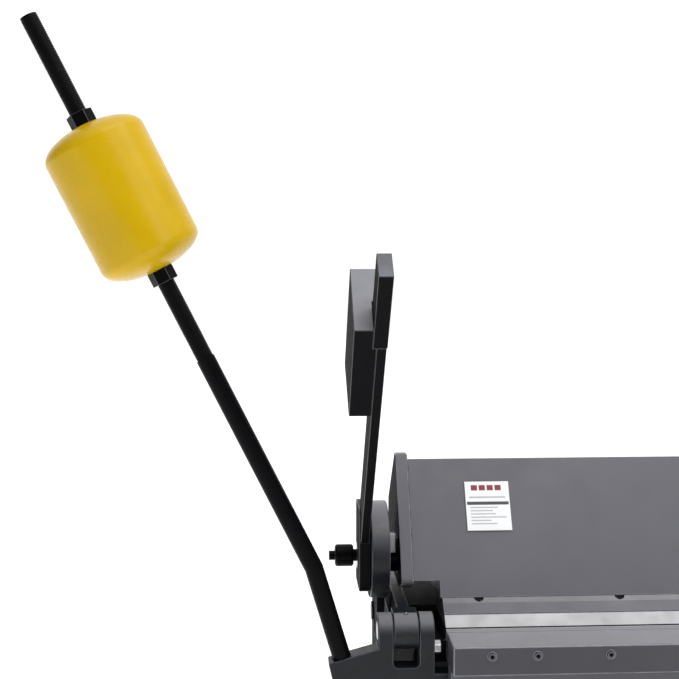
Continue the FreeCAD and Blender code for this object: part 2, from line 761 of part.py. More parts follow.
def make_link(name, side):
    """Clamp link: round head on the shaft and a flat stem with two slanted slots."""
    low_x = "link_head_inner" if side > 0 else "-(link_head_inner + link_head_thickness)"
    head_y = "shaft_back - link_head_shift * sin(lever_lean * 1 deg)"
    head_z = "shaft_height + link_head_shift * cos(lever_lean * 1 deg)"
    head = rod(f"{name}_link_head", "link_head_radius", "link_head_thickness", low_x, head_y, head_z, ALONG_X)
    stem_x = "link_stem_inner" if side > 0 else "-(link_stem_inner + link_stem_thickness)"
    stem = box(f"{name}_link_stem", "link_stem_thickness", "link_stem_width", "shaft_height - link_stem_low",
               stem_x, "link_stem_front", "link_stem_low")
    tools = [rod(f"{name}_link_bore", "shaft_radius + pin_fit", "link_head_thickness + 2", f"{low_x} - 1",
                 "shaft_back", "shaft_height", ALONG_X)]
    wide = "link_pin_radius + running_gap"
    slope = "(slide_slope * 1 deg)"
    tilt = Rotation(Vector(1, 0, 0), value_of("slide_slope") - 90)
    for level in ("high", "low"):
        z = f"link_pin_{level}"
        end_y = f"link_pin_back - slide_travel * cos{slope}"
        end_z = f"{z} - slide_travel * sin{slope}"
        for end, (y, height) in enumerate((("link_pin_back", z), (end_y, end_z))):
            tools.append(rod(f"{name}_slot_{level}_{end}", wide, "link_stem_thickness + 2",
                             f"{stem_x} - 1", y, height, ALONG_X))
        tools.append(box(f"{name}_slot_{level}", "link_stem_thickness + 2", f"2 * ({wide})", "slide_travel",
                         f"{stem_x} - 1", f"{end_y} - ({wide}) * sin{slope}",
                         f"{end_z} + ({wide}) * cos{slope}", tilt))
    raw = fuse(f"{name}_link_raw", [head, stem])
    keep(cut(f"{name}_link", raw, fuse(f"{name}_link_tools", tools)), f"clamp_link_{name}")


def nose_row(name, radius, depth, height, shift):
    """Row of cylinders square to the strip, at a distance in front of where it meets the front plate."""
    turn = Rotation(Vector(1, 0, 0), 40)
    row = []
    for number in range(DIMENSIONS["nose_bolt_count"]):
        x = f"({number} - (nose_bolt_count - 1) / 2) * nose_bolt_pitch"
        y = f"strip_run - ({shift}) * cos(40 deg) + ({depth}) * sin(40 deg)"
        z = f"bend_height + strip_rise - ({shift}) * sin(40 deg) - ({depth}) * cos(40 deg)"
        row.append(rod(f"{name}_{number}", radius, height, x, y, z, turn))
    return row


def make_nose_bolts():
    """Bolts at the bottom of the pockets."""
    bolts = nose_row("nose_bolt", "nose_bolt_radius", "nose_pocket_depth", "3", "nose_bolt_shift")
    keep(group("nose_bolt_row", bolts), "nose_bolts")


def make_rating_plate():
    low = on_plate("rating_offset", "-rating_thickness")
    turn = Rotation(Vector(1, 0, 0), value_of("plate_slope"))
    keep(box("rating_blank", "rating_width", "rating_height", "rating_thickness",
             "-(half_width - rating_inset)", *low, turn), "rating_plate")


# ---------------------------------------------------------------- clamp lever

def lever_box(name, side, inner, thick, width, front, start, long):
    """Box in the leaning frame of the lever: front is its front face's distance from the axis line."""
    lean = Rotation(Vector(1, 0, 0), value_of("lever_lean"))
    low_x = f"{inner}" if side > 0 else f"-({inner}) - ({thick})"
    angle = "(lever_lean * 1 deg)"
    y = f"shaft_back - ({front}) * cos{angle} - ({start}) * sin{angle}"
    z = f"shaft_height - ({front}) * sin{angle} + ({start}) * cos{angle}"
    return box(name, thick, width, long, low_x, y, z, lean)


def lever_point(front, start):
    """Point of the lever's profile in the YZ plane, in its leaning frame."""
    angle = "(lever_lean * 1 deg)"
    y = f"shaft_back - ({front}) * cos{angle} - ({start}) * sin{angle}"
    z = f"shaft_height - ({front}) * sin{angle} + ({start}) * cos{angle}"
    return y, z


def make_lever(name, side):
    half = "lever_width / 2"
    bar = lever_box(f"{name}_bar_blank", side, "lever_inner", "lever_thickness", "lever_width",
                    half, "0", "head_start")
    bar_x = "lever_inner" if side > 0 else "-(lever_inner + lever_thickness)"
    ring = rod(f"{name}_bar_ring", half, "lever_thickness", bar_x, "shaft_back", "shaft_height", ALONG_X)
    bore = rod(f"{name}_bar_bore", "shaft_radius", "lever_thickness + 2", f"{bar_x} - 1",
               "shaft_back", "shaft_height", ALONG_X)
    whole_bar = fuse(f"{name}_bar_raw", [bar, ring])
    keep(cut(f"{name}_bar", whole_bar, bore), f"lever_bar_{name}")

    head = lever_box(f"{name}_head_blank", side, "lever_inner - 1", "head_thickness", "head_width",
                     half, "head_start", "lever_length - head_start")
    keep(head, f"lever_head_{name}")

    deep = f"{half} - weight_plate_width"
    high = "weight_plate_start + weight_plate_length"
    low_back = "weight_plate_start - weight_plate_drop"
    outline = [
        lever_point(half, "weight_plate_start"),
        lever_point(half, high),
        lever_point(deep, high),
        lever_point(deep, low_back),
    ]
    outer = "lever_inner - 1 + head_thickness"
    plate = slab(f"{name}_weight_plate_blank", "YZ_Plane", outline, "weight_plate_thickness",
                 f"{side} * ({outer} + weight_plate_thickness / 2)")
    pad = lever_box(f"{name}_weight_pad", side, "lever_inner + lever_thickness",
                    "head_thickness - lever_thickness - 1", "weight_plate_width",
                    half, "weight_plate_start", "head_start - weight_plate_start")
    rear = lever_box(f"{name}_weight_rear", side, "lever_inner", "head_thickness - 1",
                     "weight_plate_width - lever_width", f"-{half}", "weight_plate_start", "weight_plate_length")
    keep(fuse(f"{name}_weight_plate", [plate, pad, rear]), f"lever_weight_{name}")

    hub_x = "hub_inner" if side > 0 else "-(hub_inner + hub_thickness)"
    block = box(f"{name}_hub_block", "hub_thickness", "hub_rear - hub_front", "hub_high - hub_low",
                hub_x, "hub_front", "hub_low")
    soft = rounded(f"{name}_hub_soft", block, "hub_round", runs_along_x)
    hub_bore = rod(f"{name}_hub_bore", "shaft_radius", "hub_thickness + 2", f"{hub_x} - 1",
                   "shaft_back", "shaft_height", ALONG_X)
    keep(cut(f"{name}_hub", soft, fuse(f"{name}_hub_tools", [hub_bore, whole_bar])), f"lever_hub_{name}")

    make_knob(name, side)


def make_knob(name, side):
    """Turned knob on the end of the shaft: neck, rounded barrel and tip."""
    pieces = []
    start = "shaft_end"
    for piece, radius in (("neck", "knob_neck_radius"), ("body", "knob_radius"), ("tip", "knob_tip_radius")):
        long = f"knob_{piece}_length"
        low_x = start if side > 0 else f"-({start} + {long})"
        pieces.append(rod(f"{name}_knob_{piece}", radius, long, low_x, "shaft_back", "shaft_height", ALONG_X))
        start += f" + {long}"
    pieces[1] = rounded(f"{name}_knob_soft", pieces[1], "knob_round", is_circle)
    keep(fuse(f"{name}_knob", pieces), f"shaft_knob_{name}")


def make_lever_bolts():
    bolts = []
    for name, side in SIDES.items():
        inner = "lever_inner - 2"
        for number, start in enumerate((385, 450)):
            blank = lever_box(f"{name}_lever_bolt_seat_{number}", side, inner, "2", "17", "8.5",
                              f"{start} - 8.5", "17")
            bolts.append(blank)
    keep(group("lever_bolt_set", bolts), "lever_bolts")


def make_shaft():
    """Cross shaft that joins the two levers through the beam."""
    keep(rod("cross_shaft_blank", "shaft_radius", "2 * shaft_end", "-shaft_end",
             "shaft_back", "shaft_height", ALONG_X), "cross_shaft")


def build():
    for name, side in SIDES.items():
        make_side_frame(name, side)
        make_foot(name, side)
        make_link_pins(name, side)
        make_fork(name, side)
        make_rod(name, side)
        make_handle(name, side)
        make_counterweight(name, side)
        make_end_plate(name, side)
        make_link(name, side)
        make_lever(name, side)
    make_bed()
    make_ties()
    make_frame_bolts()
    make_apron()
    make_set_screws()
    make_fork_bolts()
    make_beam()
    make_nose_bolts()
    make_rating_plate()
    make_lever_bolts()
    make_shaft()
    doc.recompute()


def check_and_write():
    for item in doc.Objects:
        bad = [state for state in item.State if state in ("Invalid", "Error")]
        if bad:
            raise RuntimeError(f"{item.Name} ({item.Label}) is {bad}")
    os.makedirs("parts", exist_ok=True)
    for item in finished:
        shape = item.Shape
        if shape.isNull() or not shape.isValid() or not shape.Solids:
            raise RuntimeError(f"{item.Label} has no valid solid")
        shape.exportStep(f"parts/{item.Label}.step")
    print(len(finished), "nodes written")


build()
check_and_write()
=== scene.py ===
import json
import math

import bmesh
import bpy
from mathutils import Matrix, Vector

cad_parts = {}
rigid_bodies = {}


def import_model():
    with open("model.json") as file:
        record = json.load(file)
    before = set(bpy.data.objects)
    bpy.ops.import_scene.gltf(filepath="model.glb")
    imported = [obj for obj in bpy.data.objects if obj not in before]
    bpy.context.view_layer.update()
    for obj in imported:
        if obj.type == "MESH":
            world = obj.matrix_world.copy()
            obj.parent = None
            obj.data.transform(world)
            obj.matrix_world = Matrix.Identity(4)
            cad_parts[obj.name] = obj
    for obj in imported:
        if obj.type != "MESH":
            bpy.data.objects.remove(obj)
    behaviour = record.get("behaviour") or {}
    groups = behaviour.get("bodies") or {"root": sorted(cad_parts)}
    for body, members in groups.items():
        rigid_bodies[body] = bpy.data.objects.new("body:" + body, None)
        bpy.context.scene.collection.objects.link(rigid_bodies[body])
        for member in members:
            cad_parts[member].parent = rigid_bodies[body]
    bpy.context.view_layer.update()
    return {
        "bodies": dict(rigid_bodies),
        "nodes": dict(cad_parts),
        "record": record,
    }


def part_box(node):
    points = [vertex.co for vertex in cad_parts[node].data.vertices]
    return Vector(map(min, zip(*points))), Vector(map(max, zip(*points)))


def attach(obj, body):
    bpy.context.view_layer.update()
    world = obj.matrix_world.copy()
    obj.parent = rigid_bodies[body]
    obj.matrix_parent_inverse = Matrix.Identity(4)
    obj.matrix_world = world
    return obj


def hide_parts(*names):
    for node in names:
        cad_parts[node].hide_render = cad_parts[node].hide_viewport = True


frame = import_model()
nodes = frame["nodes"]
body_names = {empty.name: name for name, empty in frame["bodies"].items()}
slots = {part["node"]: part["material_slot"] for part in frame["record"]["subparts"]}
scene = bpy.context.scene
scene.view_settings.view_transform = "Standard"

MM = 0.001
SIDES = {"left": -1, "right": 1}

# sizes shared with the part, in metres
BEND_HEIGHT = 0.900
BOSS_MIDDLE = 0.7335
KNUCKLE_RADIUS = 0.0255
APRON_FRONT = -0.073
SCREW_PLACES = (0, 0.150, 0.300, 0.458, 0.559, 0.622)
SCREW_DROP = 0.0133
ROD_PLANE = -0.01075
ROD_BEND = (0.829 + 0.1161 * math.sin(math.radians(16.8)), 0.8843 + 0.1161 * math.cos(math.radians(16.8)))
ROD_LEAN = math.radians(26.6)
THREAD_START = 0.330
THREAD_LENGTH = 0.5094
THREAD_PITCH = 0.003
THREAD_ROOT = 0.0113
THREAD_CREST = 0.0120
PLATE_SLOPE = math.radians(60)

# heights, depths and radii that bound the worn areas and the areas of painted highlight and painted shade;
# STRIP_CUT is a point and a normal
KNUCKLE_SHELL = (0.024, 0.0262)
LINK_RIM_LOW = 0.960
PLATE_FOOT_TOP = 0.9375
BEVEL_TOP = 0.9162
GROOVE_TOP = 0.9025
STRIP_WEAR_AND_HIGHLIGHT_LOW = 0.9285
STRIP_CUT = ((0, 0.0306, 0.9282), (0, 0.766, 0.643))
LIP_EDGE_BACK = -0.05
SOCKET_MOUTH = APRON_FRONT - 0.0022
BLADE_END = 0.62


# angles between faces: joined into one below the first, rounded over above the second, and shaded
# sharp above the last two, on softened nodes and on turned pieces
SAME_PLANE = math.radians(0.6)
ROUNDED_FROM = math.radians(28)
SHARP_FROM = math.radians(24)
TURNED_SHARP_FROM = math.radians(35)

# how far a finish's roughness swings to each side
GLOSS_SWING = 0.08


# ---------------------------------------------------------------- camera

camera = bpy.data.objects.new("camera", bpy.data.cameras.new("camera"))
scene.collection.objects.link(camera)
camera.location = (-0.908, -1.580, 1.4582)
camera.rotation_euler = (math.radians(90 - 5.19), 0, math.radians(-2.96))
camera.data.sensor_width = 36
camera.data.lens = 36 * 1150 / 679
scene.camera = camera


# ---------------------------------------------------------------- shader nodes

def add(tree, kind, **values):
    """New shader node with some of its properties or input defaults set."""
    node = tree.nodes.new(kind)
    for key, value in values.items():
        if hasattr(node, key):
            setattr(node, key, value)
        else:
            node.inputs[key.replace("_", " ")].default_value = value
    return node


def noise(tree, vector, scale, detail=3.0, rough=0.55):
    node = add(tree, "ShaderNodeTexNoise", Scale=scale, Detail=detail, Roughness=rough)
    tree.links.new(vector, node.inputs["Vector"])
    return node.outputs["Fac"]


def ranged(tree, value, low, high, out_low, out_high):
    """Value mapped from one range to another, and held at its ends."""
    node = add(tree, "ShaderNodeMapRange", clamp=True)
    limits = (("From Min", low), ("From Max", high), ("To Min", out_low), ("To Max", out_high))
    for name, number in limits:
        node.inputs[name].default_value = number
    tree.links.new(value, node.inputs["Value"])
    return node.outputs["Result"]


def mixed(tree, factor, first, second):
    """Colour mix; first and second are colours or outputs."""
    node = tree.nodes.new("ShaderNodeMix")
    node.data_type = "RGBA"
    tree.links.new(factor, node.inputs["Factor"])
    for socket, value in ((node.inputs[6], first), (node.inputs[7], second)):
        if isinstance(value, tuple):
            socket.default_value = (*value, 1)
        else:
            tree.links.new(value, socket)
    return node.outputs[2]


def calc(tree, operation, first, second):
    """Sum, difference or product of two numbers or outputs."""
    node = add(tree, "ShaderNodeMath", operation=operation)
    for socket, value in zip(node.inputs, (first, second)):
        if isinstance(value, (int, float)):
            socket.default_value = value
        else:
            tree.links.new(value, socket)
    return node.outputs[0]


def shade(color, factor):
    return tuple(min(1.0, channel * factor) for channel in color)


# ---------------------------------------------------------------- finishes

def surface(name, color, rough, metallic=0.0, spread=0.12, patch=9.0, grain=420.0, bump=0.25,
            depth=0.00012, streak=None, speck=None, pit=None, specular=0.5, crown=None):
    """Finish with slow colour patches, fine grain in the bump, and a roughness that changes with place.

    streak is (scale vector, strength): fine lines drawn out along the axis with the small scale.
    speck is (colour, share, scale): small chips or dust of another colour.
    pit is (scale, depth): a coarser cast skin under the grain.
    The last argument is a colour that faces turned upwards fade towards: a painted highlight.
    """
    material = bpy.data.materials.new(name)
    material.use_nodes = True
    tree = material.node_tree
    shader = tree.nodes["Principled BSDF"]
    shader.inputs["Metallic"].default_value = metallic
    shader.inputs["Specular IOR Level"].default_value = specular
    place = tree.nodes.new("ShaderNodeTexCoord").outputs["Object"]
    slow = ranged(tree, noise(tree, place, patch, 4.0), 0.3, 0.7, 0, 1)
    fine = noise(tree, place, grain, 2.0)
    tint = mixed(tree, slow, shade(color, 1 - spread), shade(color, 1 + spread))
    gloss = ranged(tree, noise(tree, place, patch * 5, 5.0), 0.3, 0.7, rough - GLOSS_SWING,
                   rough + GLOSS_SWING)
    height = fine
    if streak:
        scale, strength = streak
        stretch = add(tree, "ShaderNodeMapping")
        stretch.inputs["Scale"].default_value = scale
        tree.links.new(place, stretch.inputs["Vector"])
        lines = noise(tree, stretch.outputs["Vector"], 1.0, 4.0, 0.7)
        light = ranged(tree, lines, 0.3, 0.7, 0, 1)
        tint = mixed(tree, light, shade(color, 1 - strength), tint)
        gloss = calc(tree, "ADD", gloss, ranged(tree, lines, 0.3, 0.7, -GLOSS_SWING, GLOSS_SWING))
        height = calc(tree, "ADD", calc(tree, "MULTIPLY", fine, 0.3), lines)
    if pit:
        pit_scale, pit_depth = pit
        hollow = calc(tree, "MULTIPLY", noise(tree, place, pit_scale, 3.0), pit_depth)
        height = calc(tree, "ADD", height, hollow)
    if speck:
        speck_color, share, speck_scale = speck
        flecks = noise(tree, place, speck_scale, 6.0, 0.75)
        tint = mixed(tree, ranged(tree, flecks, 1 - share, 1 - share + 0.05, 0, 1), tint, speck_color)
    # faces that look up fade towards the given top colour by their normal: a painted highlight
    if crown:
        facing = add(tree, "ShaderNodeSeparateXYZ")
        tree.links.new(tree.nodes.new("ShaderNodeTexCoord").outputs["Normal"], facing.inputs[0])
        tint = mixed(tree, ranged(tree, facing.outputs["Z"], 0.06, 1.0, 0, 1), tint, crown)
    ridge = add(tree, "ShaderNodeBump", Strength=bump, Distance=depth)
    tree.links.new(height, ridge.inputs["Height"])
    tree.links.new(tint, shader.inputs["Base Color"])
    tree.links.new(gloss, shader.inputs["Roughness"])
    tree.links.new(ridge.outputs["Normal"], shader.inputs["Normal"])
    return material


GREY = (0.100, 0.100, 0.119)
CASTING = (0.0080, 0.0090, 0.0125)
BLACK = (0.0028, 0.0028, 0.0038)
DUST = (0.030, 0.031, 0.037)
ALONG_X = (14, 900, 900)

finishes = {}


def finish(name, *values, **settings):
    finishes[name] = surface(name, *values, **settings)


# painted sheet and bar
finish("grey_paint", GREY, 0.42, spread=0.05, patch=5, grain=650, bump=0.30, depth=0.00010,
       pit=(120, 0.5), speck=((0.20, 0.20, 0.22), 0.27, 210))
# lighter copy for rounded edges: wear and a painted highlight
finish("grey_paint_edge", shade(GREY, 1.9), 0.34, spread=0.25, patch=60, grain=500)
# the grey paint darkened for the apron bar: its darker paint and painted shade on its front
finish("apron_paint_and_shade", shade(GREY, 0.62), 0.45, spread=0.07, patch=6, grain=650, bump=0.35, depth=0.00012,
       pit=(120, 0.6), speck=((0.15, 0.15, 0.165), 0.27, 230), specular=0.3)
finish("yellow_paint", (0.63, 0.400, 0.003), 0.25, spread=0.05, patch=16, grain=300, bump=0.20,
       depth=0.00010, pit=(60, 0.8), specular=0.24)

# castings and lever parts: painted and flecked with dust, with a painted highlight on knuckle and rim tops,
# lighter upper faces as painted light, and painted shade on the sides
finish("grey_casting", CASTING, 0.33, spread=0.16, patch=22, grain=520, bump=0.45, depth=0.00018,
       pit=(190, 1.2), speck=(DUST, 0.24, 330), specular=0.24)
# lighter copy for rounded edges: wear and a painted highlight
finish("grey_casting_edge", shade(CASTING, 4.5), 0.36, spread=0.3, patch=70, grain=500)
# the dark casting with faces that look up fading to pale grey: a painted highlight on the knuckle tops and
# link rims
finish("casting_painted_highlight", CASTING, 0.33, spread=0.16, patch=22, grain=520, bump=0.45, depth=0.00018,
       pit=(190, 1.0), specular=0.24, crown=(0.180, 0.182, 0.196))
# the casting colour made dull for side faces and bed beam edges: painted shade
finish("casting_painted_shade", CASTING, 0.75, spread=0.2, patch=20, grain=520, bump=0.45,
       speck=(DUST, 0.25, 330), specular=0.08)
finish("black_casting", BLACK, 0.36, spread=0.2, patch=26, grain=520, bump=0.5, depth=0.00018,
       pit=(170, 1.2), speck=(DUST, 0.25, 300), specular=0.06)
# lighter copy for rounded edges: wear and a painted highlight
finish("black_casting_edge", (0.035, 0.035, 0.038), 0.36, spread=0.35, patch=80, grain=500)
# lighter bluish greys for the upper faces of the lever weight and head: painted light from above
finish("painted_light_slope", (0.23, 0.23, 0.26), 0.40, spread=0.12, patch=18, grain=500, bump=0.4,
       speck=((0.32, 0.32, 0.35), 0.25, 260))
finish("painted_light_top", (0.12, 0.125, 0.145), 0.45, spread=0.3, patch=30, grain=500, bump=0.5,
       speck=((0.2, 0.2, 0.22), 0.27, 300))
# dull near-black for side faces of end plates, lever parts and blade, its ends and the nose bar's groove:
# painted shade
finish("black_painted_shade", (0.008, 0.008, 0.009), 0.75, spread=0.3, patch=20, grain=400, bump=0.4, specular=0.06)
finish("dull_grey", (0.032, 0.032, 0.034), 0.7, spread=0.3, patch=16, grain=400, bump=0.4,
       specular=0.08, streak=(ALONG_X, 0.4))

# bare and blackened steel, and bronze
finish("black_steel", shade(BLACK, 0.8), 0.38, spread=0.25, patch=30, grain=700, bump=0.3, depth=0.00010,
       speck=(DUST, 0.22, 420), specular=0.07)
# lighter copy for rounded edges: wear and a painted highlight
finish("black_steel_edge", (0.03, 0.03, 0.033), 0.34, spread=0.35, patch=80, grain=600)
# near-black inside the set screw sockets: painted shade in the recess
finish("socket_painted_shade", (0.003, 0.003, 0.003), 0.6, spread=0.2, specular=0.1)
finish("bolt_steel", (0.32, 0.32, 0.33), 0.34, metallic=0.9, spread=0.2, patch=120, grain=800)
# lighter copy for rounded edges: wear and a painted highlight
finish("bolt_steel_edge", (0.6, 0.6, 0.6), 0.3, metallic=0.9, spread=0.2, patch=120)
finish("machined_steel", (0.37, 0.37, 0.385), 0.40, metallic=0.35, spread=0.10, patch=7, grain=900,
       bump=0.25, depth=0.00006, streak=((5, 900, 900), 0.20), speck=((0.35, 0.34, 0.33), 0.22, 160))
# lighter copy for rounded edges: wear and a painted highlight
finish("machined_steel_edge", (0.50, 0.50, 0.50), 0.30, metallic=0.5, spread=0.1)
finish("ground_steel", (0.50, 0.50, 0.51), 0.26, metallic=0.9, spread=0.1, patch=12, grain=900, bump=0.2,
       depth=0.00005, streak=((900, 30, 30), 0.25))
# lighter copy for rounded edges: wear and a painted highlight
finish("ground_steel_edge", (0.75, 0.75, 0.75), 0.25, metallic=0.9, spread=0.1)
finish("bronze", (0.42, 0.28, 0.12), 0.35, metallic=0.9, spread=0.2, patch=60, grain=700)

# paint worn along the edges that the sheet rubs on; the line and strip finishes are lighter there also as a
# painted highlight
finish("line_wear_and_highlight", (0.24, 0.24, 0.25), 0.34, metallic=0.2, spread=0.30, patch=45, grain=600,
       streak=(ALONG_X, 0.4))
# lighter top of the nose bar's strip: wear and a painted highlight
finish("strip_wear_and_highlight", (0.185, 0.185, 0.20), 0.36, spread=0.18, patch=20, grain=650, bump=0.3,
       streak=((6, 900, 900), 0.3))
finish("worn_top", (0.30, 0.30, 0.325), 0.38, spread=0.14, patch=8, grain=700, bump=0.3, depth=0.00008,
       streak=(ALONG_X, 0.25), speck=((0.5, 0.5, 0.5), 0.24, 240))

# rubber grips and the rating plate
finish("grip_rubber", (0.016, 0.016, 0.017), 0.62, spread=0.2, patch=40, grain=900, bump=0.6,
       depth=0.0002, speck=((0.05, 0.05, 0.05), 0.28, 300))
finish("label_plate", (0.90, 0.91, 0.92), 0.35, spread=0.02, patch=40, grain=900, bump=0.1)
finish("label_plate_edge", (0.7, 0.7, 0.7), 0.4, spread=0.05)
finish("label_red", (0.24, 0.015, 0.03), 0.45, spread=0.1, patch=300, grain=900, bump=0.1)
finish("label_ink", (0.05, 0.05, 0.055), 0.45, spread=0.1, patch=60, grain=900, bump=0.1)
finish("label_grey", (0.45, 0.46, 0.48), 0.45, spread=0.1, patch=300, grain=900, bump=0.1)

# finishes whose edges look like another finish
for edge, same in (("worn_top_edge", "worn_top"), ("apron_paint_and_shade_edge", "grey_paint_edge"),
                   ("bronze_edge", "bronze"), ("yellow_paint_edge", "yellow_paint"),
                   ("grip_rubber_edge", "grip_rubber")):
    finishes[edge] = finishes[same]

# every node takes its slot's finish
for name, item in nodes.items():
    if not item.material_slots:
        item.data.materials.append(None)
    for entry in item.material_slots:
        entry.material = finishes[slots[name]]


# ---------------------------------------------------------------- mesh makers

def new_piece(name, mesh, body, materials):
    item = bpy.data.objects.new(name, mesh)
    scene.collection.objects.link(item)
    for key in materials:
        item.data.materials.append(finishes[key])
    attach(item, body)
    return item


def finished_mesh(name, work):
    """Mesh data with smooth faces from a bmesh, which is freed."""
    for face in work.faces:
        face.smooth = True
    mesh = bpy.data.meshes.new(name)
    work.to_mesh(mesh)
    work.free()
    return mesh


def softened(node, width, finish_name=None, repaint=(), edge_repaint=(), steps=2, slices=()):
    """Copy of a CAD node with its sharp edges rounded over and given a lighter edge finish, standing for wear
    and a painted highlight, which takes the node's place.

    repaint and edge_repaint are lists of (finish, test), for its faces and for its rounded edges; a test is
    given a face's normal and centre. slices are planes (point, normal) that split faces before the repaint.
    """
    source = nodes[node]
    work = bmesh.new()
    work.from_mesh(source.data)
    bmesh.ops.remove_doubles(work, verts=work.verts, dist=2e-6)
    bmesh.ops.dissolve_limit(work, angle_limit=SAME_PLANE, verts=work.verts, edges=work.edges)
    for face in work.faces:
        face.material_index = 0
        face.smooth = True
    sharp = [e for e in work.edges if len(e.link_faces) == 2 and e.calc_face_angle(0) > ROUNDED_FROM]
    bmesh.ops.bevel(work, geom=sharp, offset=width, offset_type="OFFSET", segments=steps, profile=0.5,
                    affect="EDGES", clamp_overlap=False, material=1, harden_normals=False)
    for spot, across in slices:
        bmesh.ops.bisect_plane(work, geom=work.verts[:] + work.edges[:] + work.faces[:], dist=1e-7,
                               plane_co=spot, plane_no=across)
    work.normal_update()
    main = finish_name or slots[node]
    # rounded edges take the lighter edge finish: wear and a painted highlight
    materials = [main, main + "_edge"]
    for kind, requests in ((0, repaint), (1, edge_repaint)):
        for extra, wanted in requests:
            materials.append(extra)
            for face in work.faces:
                if face.material_index == kind and wanted(face.normal, face.calc_center_median()):
                    face.material_index = len(materials) - 1
    mesh = finished_mesh(node + "_soft", work)
    mesh.set_sharp_from_angle(angle=SHARP_FROM)
    item = new_piece(node + "_soft", mesh, body_names[source.parent.name], materials)
    weighted = item.modifiers.new("weighted", "WEIGHTED_NORMAL")
    weighted.keep_sharp = True
    weighted.weight = 90
    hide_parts(node)


def lathe(name, profile, place, axis, body, finish_name, steps):
    """Turned piece: profile is a list of (distance along the axis, radius)."""
    turn = Vector((0, 0, 1)).rotation_difference(Vector(axis)).to_matrix().to_4x4()
    base = Matrix.Translation(place) @ turn
    work = bmesh.new()
    rings = []
    for along, radius in profile:
        ring = []
        for step in range(steps):
            around = 2 * math.pi * step / steps
            spot = Vector((radius * math.cos(around), radius * math.sin(around), along))
            ring.append(work.verts.new(base @ spot))
        rings.append(ring)
    for low, high in zip(rings, rings[1:]):
        for step in range(steps):
            after = (step + 1) % steps
            work.faces.new((low[step], low[after], high[after], high[step]))
    work.faces.new(rings[0][::-1])
    work.faces.new(rings[-1])
    bmesh.ops.recalc_face_normals(work, faces=work.faces)
    mesh = finished_mesh(name, work)
    mesh.set_sharp_from_angle(angle=TURNED_SHARP_FROM)
    new_piece(name, mesh, body, [finish_name])


def block(name, corners, depth, body, finish_name, width):
    """Flat plate with softened edges: corners of its face in order, and the vector to its back."""
    work = bmesh.new()
    near = [work.verts.new(Vector(corner)) for corner in corners]
    far = [work.verts.new(Vector(corner) + Vector(depth)) for corner in corners]
    work.faces.new(near)
    work.faces.new(far[::-1])
    for index in range(len(near)):
        after = (index + 1) % len(near)
        work.faces.new((near[after], near[index], far[index], far[after]))
    bmesh.ops.recalc_face_normals(work, faces=work.faces)
    # edges rounded over and given the lighter edge finish: wear and a painted highlight
    bmesh.ops.bevel(work, geom=list(work.edges), offset=width, segments=2, profile=0.5, affect="EDGES",
                    clamp_overlap=True, material=1)
    mesh = finished_mesh(name, work)
    item = new_piece(name, mesh, body, [finish_name, finish_name + "_edge"])
    item.modifiers.new("weighted", "WEIGHTED_NORMAL").keep_sharp = True


def thread(name, sign, body):
    """Rolled thread on the upper end of the counterweight rod, one helical ridge."""
    axis = Vector((sign * math.sin(ROD_LEAN), 0, math.cos(ROD_LEAN)))
    start = Vector((sign * ROD_BEND[0], ROD_PLANE, ROD_BEND[1])) + axis * THREAD_START
    turn = Vector((0, 0, 1)).rotation_difference(axis).to_matrix()
    ridge = ((0.0, THREAD_ROOT), (0.40, THREAD_CREST), (0.60, THREAD_CREST), (1.0, THREAD_ROOT))
    work = bmesh.new()
    steps = 20
    turns = int(THREAD_LENGTH / THREAD_PITCH) - 1
    rows = []
    for step in range(turns * steps + 1):
        around = 2 * math.pi * step / steps
        along = THREAD_PITCH * step / steps
        row = []
        for rise, radius in ridge:
            spot = Vector((radius * math.cos(around), radius * math.sin(around), along + rise * THREAD_PITCH))
            row.append(work.verts.new(start + turn @ spot))
        rows.append(row)
    for low, high in zip(rows, rows[1:]):
        for index in range(3):
            work.faces.new((low[index], high[index], high[index + 1], low[index + 1]))
        work.faces.new((low[3], high[3], high[0], low[0]))
    work.faces.new(rows[0])
    work.faces.new(rows[-1][::-1])
    bmesh.ops.recalc_face_normals(work, faces=work.faces)
    mesh = bpy.data.meshes.new(name)
    work.to_mesh(mesh)
    work.free()
    new_piece(name, mesh, body, ["black_steel"])


# ---------------------------------------------------------------- tests for faces to repaint

# faces that look sideways, which take painted shade
def sideways(normal, centre):
    return abs(normal.x) > 0.9


def upward(limit):
    return lambda normal, centre: normal.z > limit


def anywhere(normal, centre):
    return True


# knuckle tops, where the painted highlight goes
def on_knuckle(normal, centre):
    distance = math.hypot(centre.y, centre.z - BEND_HEIGHT)
    return abs(normal.x) < 0.3 and normal.z > -0.2 and KNUCKLE_SHELL[0] < distance < KNUCKLE_SHELL[1]


# upper rim of the links, where the painted highlight goes
def on_link_rim(normal, centre):
    return abs(normal.x) < 0.3 and normal.z > -0.2 and centre.z > LINK_RIM_LOW


def on_blade_end(normal, centre):
    return abs(centre.x) > BLADE_END


def on_plate_foot(normal, centre):
    return centre.z < PLATE_FOOT_TOP


def on_lip_edge(normal, centre):
    return normal.z > 0.55 and centre.y < LIP_EDGE_BACK


def on_nose_bevel(normal, centre):
    return normal.y < -0.3 and centre.z < BEVEL_TOP


# upper part of the nose bar's strip, lighter for wear and a painted highlight
def on_strip_top(normal, centre):
    return normal.y < -0.3 and centre.z > STRIP_WEAR_AND_HIGHLIGHT_LOW


# the groove of the nose bar, which takes painted shade
def in_groove(normal, centre):
    return centre.z < GROOVE_TOP


# inside the set screw sockets, which take painted shade
def in_socket(normal, centre):
    return centre.y > SOCKET_MOUTH


# ---------------------------------------------------------------- softened copies of the nodes

BIG = 1.4 * MM
FINE = 0.8 * MM
TINY = 0.45 * MM

